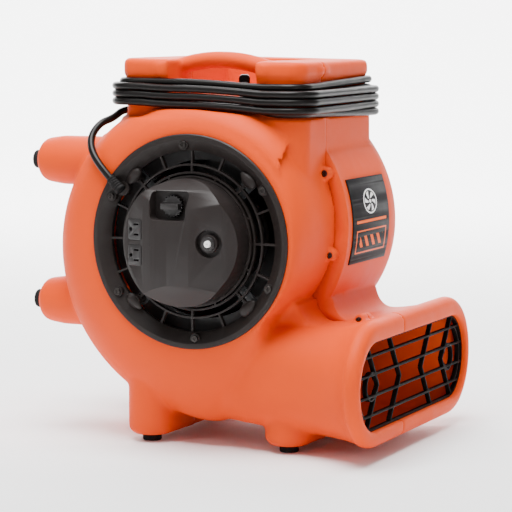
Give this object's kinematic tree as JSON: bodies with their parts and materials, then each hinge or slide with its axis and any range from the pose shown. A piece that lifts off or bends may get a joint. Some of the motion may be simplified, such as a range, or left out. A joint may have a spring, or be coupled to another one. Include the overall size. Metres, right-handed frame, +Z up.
{
  "type": "air mover",
  "caption": "Portable centrifugal air mover with a two-part moulded scroll housing, a wide low outlet, a side-mounted motor and a cord wound round the neck under its carry handle.",
  "frame": {"origin": "floor level, middle of the machine's length and width", "axes": "+X from the back feet towards the air outlet, +Y across the machine away from the motor side, +Z up; the fan turns about an axis along Y"},
  "size_m": [0.505, 0.41, 0.4966],
  "materials": {
    "near_shell": "matte",
    "far_shell": "matte",
    "label_plate": "glossy",
    "shell_screws": "satin",
    "intake_panel": "matte",
    "far_panel": "matte",
    "intake_panel_screws": "satin",
    "far_panel_screws": "satin",
    "outlet_grille": "matte",
    "floor_feet": "matte",
    "floor_feet_screws": "satin",
    "back_feet": "matte",
    "back_feet_screws": "satin",
    "motor_case": "satin",
    "stator": "satin",
    "rotor": "satin",
    "near_bearing": "satin",
    "far_bearing": "satin",
    "motor_shaft": "satin",
    "near_end_cap": "satin",
    "far_end_cap": "satin",
    "motor_bracket": "satin",
    "bracket_screws": "satin",
    "fan_wheel": "matte",
    "fan_hub": "satin",
    "hub_screw": "satin",
    "motor_cover": "matte",
    "cover_plate": "matte",
    "upper_outlet": "matte",
    "lower_outlet": "matte",
    "breaker_collar": "glossy",
    "breaker_case": "matte",
    "reset_button": "glossy",
    "speed_switch": "matte",
    "capacitor": "satin",
    "terminal_block": "matte",
    "speed_knob": "matte",
    "power_cord": "matte",
    "cord_coil": "matte",
    "cord_gland": "matte",
    "plug_body": "matte",
    "plug_blades": "satin"
  },
  "bodies": {
    "housing": {"near_shell": "near_shell", "far_shell": "far_shell", "label_plate": "label_plate", "shell_screws": "shell_screws", "intake_panel": "intake_panel", "far_panel": "far_panel", "intake_panel_screws": "intake_panel_screws", "far_panel_screws": "far_panel_screws", "outlet_grille": "outlet_grille", "floor_feet": "floor_feet", "floor_feet_screws": "floor_feet_screws", "back_feet": "back_feet", "back_feet_screws": "back_feet_screws", "motor_case": "motor_case", "stator": "stator", "near_bearing": "near_bearing", "far_bearing": "far_bearing", "near_end_cap": "near_end_cap", "far_end_cap": "far_end_cap", "motor_bracket": "motor_bracket", "bracket_screws": "bracket_screws", "motor_cover": "motor_cover", "cover_plate": "cover_plate", "upper_outlet": "upper_outlet", "lower_outlet": "lower_outlet", "breaker_collar": "breaker_collar", "breaker_case": "breaker_case", "speed_switch": "speed_switch", "capacitor": "capacitor", "terminal_block": "terminal_block", "power_cord": "power_cord", "cord_coil": "cord_coil", "cord_gland": "cord_gland", "plug_body": "plug_body", "plug_blades": "plug_blades"},
    "fan": {"rotor": "rotor", "motor_shaft": "motor_shaft", "fan_wheel": "fan_wheel", "fan_hub": "fan_hub", "hub_screw": "hub_screw"},
    "speed_knob": {"speed_knob": "speed_knob"},
    "reset_button": {"reset_button": "reset_button"}
  },
  "joints": [
    {"name": "fan_spin", "type": "hinge", "parent": "housing", "child": "fan", "pos_m": [0.0075, 0, 0.262], "axis": [0, 1, 0], "continuous": true},
    {"name": "speed_knob_turn", "type": "hinge", "parent": "housing", "child": "speed_knob", "pos_m": [-0.0025, -0.18, 0.308], "axis": [0, -1, 0], "range_deg": [0, 135]},
    {"name": "reset_button_press", "type": "slide", "parent": "housing", "child": "reset_button", "axis": [0, 1, 0], "range_m": [0, 0.0025], "stiffness_N_per_m": 400}
  ]
}
